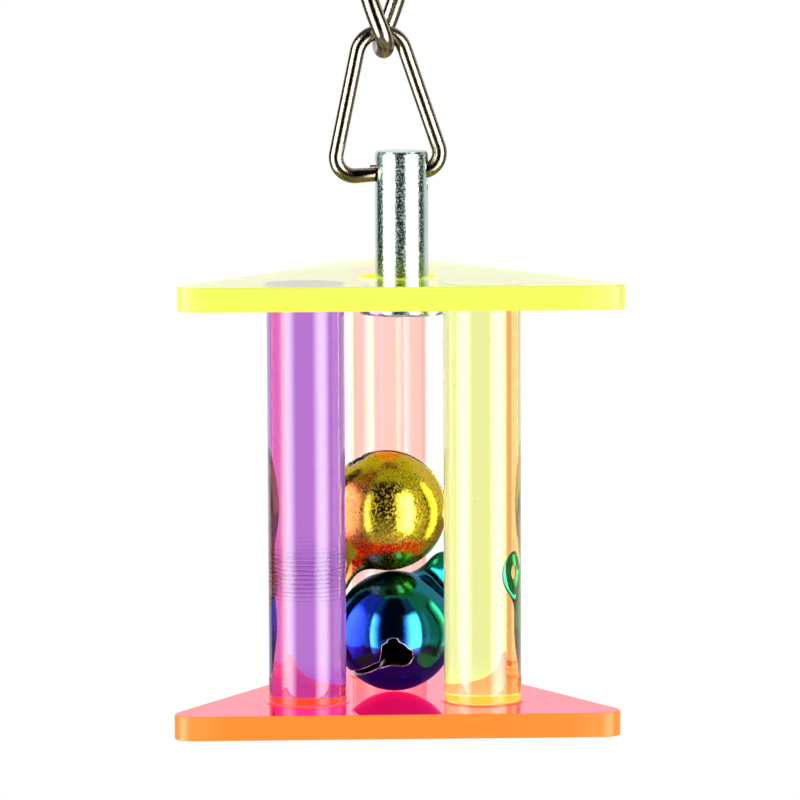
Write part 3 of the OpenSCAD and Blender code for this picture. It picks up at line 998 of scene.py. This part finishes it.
for name, spec in bells.items():
    peaLow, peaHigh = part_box(spec["pea"])
    peaAt = (peaLow + peaHigh) / 2
    lean, bearing, slitTurn = spec["lie"]
    place = Matrix.Translation(peaAt + Vector((0, 0, bell["peaDrop"] * mm)))
    place = place @ spinTurn(bearing) @ spinTurn(lean, "Y") @ spinTurn(slitTurn)
    coats = [spec["finish"], bellInsideShade, bareEdge]
    dome = finishPiece(name + "Dome", bellDome(lean), coats[:2], spec["body"], spec["dome"],
                       bell["sharp"])
    eyeAt = Matrix.Translation((0, 0, (bell["radius"] + bell["loopHeight"] - bell["eyeDrop"]) * mm))
    eyeDrill = drill(bell["eye"], eyeAt @ spinTurn(90, "Y"), length=6.0, segments=32)
    cutAway(dome, eyeDrill, spec["finish"], bell["sharp"])
    dome.data.transform(place)
    cup = finishPiece(name + "Cup", bellCup(lean), coats, spec["body"], spec["cup"],
                      bell["sharp"])
    for cutter in (slitCutter(), keyholeCutter(0), keyholeCutter(1)):
        cutAway(cup, cutter, bareEdge, bell["sharp"])
    lip = tornLip()
    for face in lip.faces:
        face.material_index = coats.index(bareEdge)
    joinTo(cup, lip, bell["sharp"])
    cup.data.transform(place)
    bm = bmesh.new()
    bmesh.ops.create_uvsphere(bm, u_segments=32, v_segments=16, radius=(peaHigh.x - peaLow.x) / 2)
    bmesh.ops.translate(bm, verts=bm.verts, vec=peaAt)
    finishPiece(name + "Pea", bm, [peaFinish], spec["peaBody"], spec["pea"])
print("bells made")

studio = {
    "floorZ": -0.8,
    "floorRadius": 4.0,
    "floorGrey": 0.7,
    "floorFade": (1.6, 2.4),  # between these distances the paper turns into the white backdrop
    "nearWhite": 0.6,  # how much of the paper under the toy is lit white, seen directly or through acrylic
    "throughWhite": 0.68,  # how much of the white backdrop clear acrylic shows beside the dark flags
    "boxReach": 0.72,  # metres from the cage
    "boxHeight": -105.0,  # the softboxes stand round this height, in millimetres
    "boxSize": (0.84, 1.24),
    "cardGlow": 11.5,
    "cardFlat": (0.06, 0.28),  # evenly bright this far from the cloth's middle, across and up
    # bearing from the camera's side, and brightness of the room there
    "room": [(-180, 1.0), (-135, 1.0), (-130, 0.02), (-90, 0.02), (-82, 0.2), (-37, 0.2), (-32, 0.01),
             (25, 0.01), (30, 0.2), (70, 0.2), (76, 0.02), (106, 0.02), (112, 1.0), (180, 1.0)],
}
softboxes = {
    "leftBox": {"bearing": -60, "watts": 4.4},
    "rightBox": {"bearing": 45, "watts": 3.8},
}


def showSurface(tree, output):
    tree.links.new(output, tree.nodes["Material Output"].inputs["Surface"])


def buildFloor():
    bm = bmesh.new()
    bmesh.ops.create_circle(bm, cap_ends=True, radius=studio["floorRadius"], segments=96)
    bmesh.ops.translate(bm, verts=bm.verts, vec=(0, 0, studio["floorZ"]))
    paper = {"Base Color": opaque(grey(studio["floorGrey"])), "Roughness": 0.9}
    finish, tree, shader = newFinish("floorPaper", paper)
    rays = addNode(tree, "ShaderNodeLightPath")
    seen = larger(tree, rays.outputs["Is Camera Ray"], rays.outputs["Is Transmission Ray"])
    out = lengthOf(tree, objectCoords(tree, (1, 1, 0)))
    far = mapRange(tree, out, *studio["floorFade"], interpolation="SMOOTHSTEP")
    white = multiply(tree, seen, larger(tree, far, studio["nearWhite"]))
    glow = addNode(tree, "ShaderNodeEmission", {"Color": opaque(grey(1)), "Strength": 1.0})
    mix = addNode(tree, "ShaderNodeMixShader")
    tree.links.new(white, mix.inputs["Fac"])
    tree.links.new(shader.outputs["BSDF"], mix.inputs[1])
    tree.links.new(glow.outputs["Emission"], mix.inputs[2])
    showSurface(tree, mix.outputs["Shader"])
    floor = meshObject("floor", bm, [finish])


def feather(tree, source, flat, peak):
    # brightest in the middle of the cloth, gone at its edges
    away = mathNode(tree, "ABSOLUTE", mathNode(tree, "SUBTRACT", source, 0.5))
    return mapRange(tree, away, flat, 0.5, peak, 0.0, "SMOOTHSTEP")


def buildSoftbox(name, box):
    width, height = studio["boxSize"]
    bearing = math.radians(box["bearing"])
    middle = Vector((hang["cage"].x, hang["cage"].y, studio["boxHeight"])) * mm
    way = Vector((math.sin(bearing), -math.cos(bearing), 0))
    facing = way.to_track_quat("Z", "Y").to_matrix().to_4x4()
    place = Matrix.Translation(middle + way * studio["boxReach"]) @ facing
    bm = bmesh.new()
    bm.loops.layers.uv.new("face")
    bmesh.ops.create_grid(bm, x_segments=1, y_segments=1, size=0.5, calc_uvs=True)
    bmesh.ops.scale(bm, verts=bm.verts, vec=(width, height, 1))
    bmesh.ops.transform(bm, matrix=place, verts=bm.verts)
    finish, tree = newFinish(name + "Glow")[:2]
    coords = addNode(tree, "ShaderNodeTexCoord")
    axes = splitAxes(tree, coords.outputs["UV"])
    flatAcross, flatUp = studio["cardFlat"]
    across = feather(tree, axes["X"], flatAcross, studio["cardGlow"])
    glow = addNode(tree, "ShaderNodeEmission", {"Color": opaque(grey(1))})
    tree.links.new(multiply(tree, across, feather(tree, axes["Y"], flatUp, 1.0)), glow.inputs["Strength"])
    showSurface(tree, glow.outputs["Emission"])
    card = meshObject(name + "Card", bm, [finish])
    card.visible_camera = False
    card.visible_diffuse = False
    card.visible_shadow = False
    lamp = bpy.data.lights.new(name, "AREA")
    lamp.shape = "RECTANGLE"
    lamp.size = width
    lamp.size_y = height
    lamp.energy = box["watts"]
    holder = newObject(name, lamp)
    holder.matrix_world = place
    holder.visible_camera = False
    holder.visible_glossy = False
    holder.visible_transmission = False


def buildWorld():
    world = bpy.data.worlds.new("studio")
    scene.world = world
    world.use_nodes = True
    tree = world.node_tree
    coords = addNode(tree, "ShaderNodeTexCoord")
    axes = splitAxes(tree, coords.outputs["Generated"])
    bearing = mathNode(tree, "ARCTAN2", axes["X"], multiply(tree, axes["Y"], -1.0))
    around = mapRange(tree, bearing, -math.pi, math.pi)
    room = ramp(tree, around, [((d + 180) / 360, grey(v)) for d, v in studio["room"]])
    rays = addNode(tree, "ShaderNodeLightPath")
    through = multiply(tree, rays.outputs["Is Transmission Ray"], studio["throughWhite"])
    mix = addNode(tree, "ShaderNodeMix", data_type="RGBA")
    tree.links.new(larger(tree, rays.outputs["Is Camera Ray"], through), mix.inputs["Factor"])
    tree.links.new(room, mix.inputs[mixFirst])
    mix.inputs[mixSecond].default_value = opaque(grey(1))
    tree.links.new(mix.outputs[mixResult], tree.nodes["Background"].inputs["Color"])


buildFloor()
for name, box in softboxes.items():
    buildSoftbox(name, box)
buildWorld()
# clear plates and rods pass light on many times
scene.cycles.max_bounces = 32
scene.cycles.glossy_bounces = 24
scene.cycles.transmission_bounces = 24
print("studio made")

# camera at the photograph's place, measured from the cage's top
view = {
    "distance": 573.7,
    "lens": 208.4,
    "sensor": 36.0,
    "clip": (0.01, 20.0),
    "lift": 6.11,
    "roll": -0.233,
    "yaw": 2.07,
    "aim": Vector((0.944, 0.0, -12.3)),
}


def buildCamera():
    e, r = math.radians(view["lift"]), math.radians(view["roll"])
    right, up = Vector((1, 0, 0)), Vector((0, math.sin(e), math.cos(e)))
    backward = Vector((0, -math.cos(e), math.sin(e)))
    rightTilted = right * math.cos(r) + up * math.sin(r)
    upTilted = up * math.cos(r) - right * math.sin(r)
    turn = Matrix((rightTilted, upTilted, backward)).transposed().to_4x4()
    spot = (view["aim"] + backward * view["distance"]) * mm
    cage = Matrix.Translation((hang["cage"] + Vector((0, 0, hang["cageTop"]))) * mm)
    data = bpy.data.cameras.new("camera")
    data.lens = view["lens"]
    data.sensor_width = view["sensor"]
    data.clip_start, data.clip_end = view["clip"]
    camera = newObject("camera", data)
    camera.matrix_world = cage @ spinTurn(-view["yaw"]) @ Matrix.Translation(spot) @ turn
    scene.camera = camera


buildCamera()
scene.view_settings.view_transform = "Standard"
print("camera placed")

bpy.context.view_layer.update()
